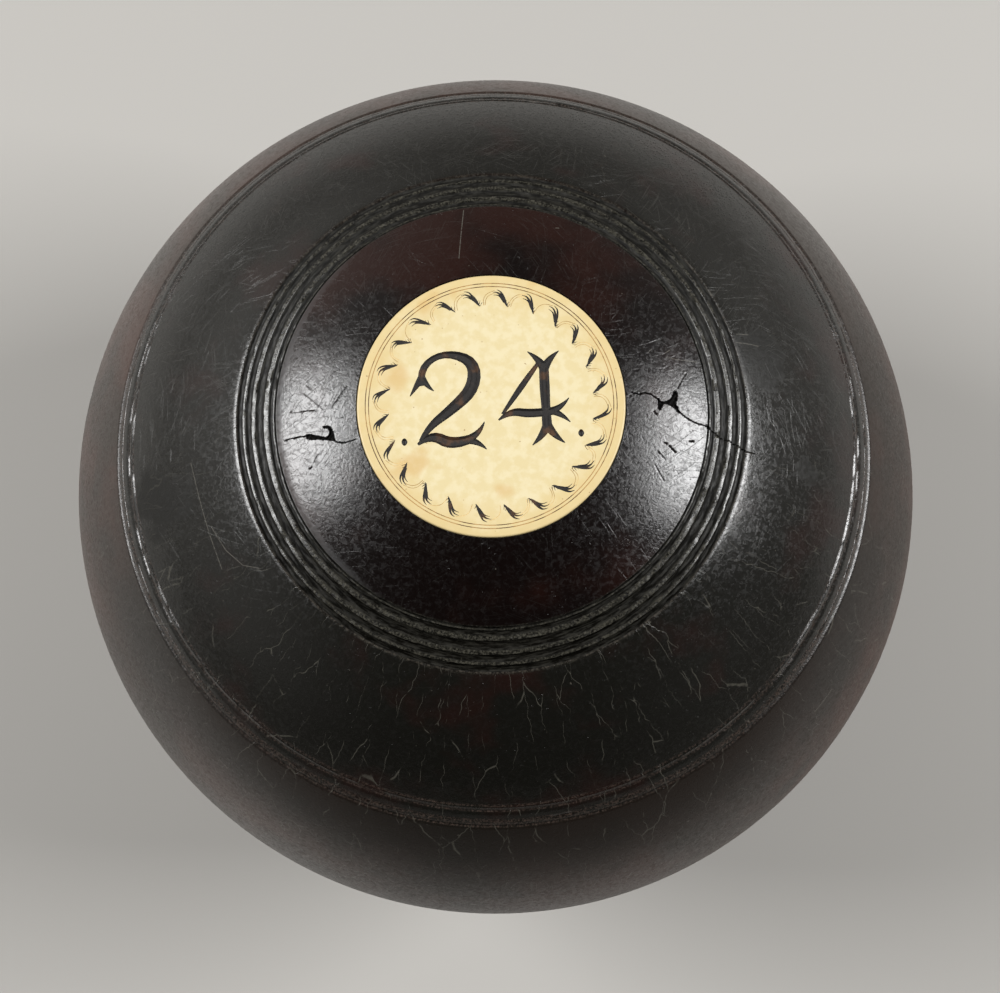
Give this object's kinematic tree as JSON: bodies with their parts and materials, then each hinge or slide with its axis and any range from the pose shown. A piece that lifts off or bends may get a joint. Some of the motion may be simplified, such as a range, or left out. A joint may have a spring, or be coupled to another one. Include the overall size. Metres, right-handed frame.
{
  "type": "wooden lawn bowl",
  "caption": "Lawn bowl turned from dark dense hardwood, with reeded rings round a flat bone disc let into each side; it lies steady on either disc and rolls on its smooth running sole.",
  "frame": {"origin": "centre of the small disc's flat face, on the turning axis, where the bowl lies on a surface", "axes": "+Z along the turning axis, from the small disc up to the large disc; X and Y lie in the plane that the bowl rests on, and +Y is the side away from a person who reads the number on the large disc"},
  "size_m": [0.127, 0.127, 0.1228],
  "materials": {
    "hardwood": "old waxed polish, near black with red-brown showing through, scratched and checked",
    "bone": "polished bone, cream with a yellowed rim, engraving filled with black",
    "cement": "dull brown resin cement"
  },
  "bodies": {
    "root": {"bowl_body": "hardwood", "large_disc": "bone", "large_disc_cement": "cement", "small_disc": "bone", "small_disc_cement": "cement"}
  },
  "joints": []
}
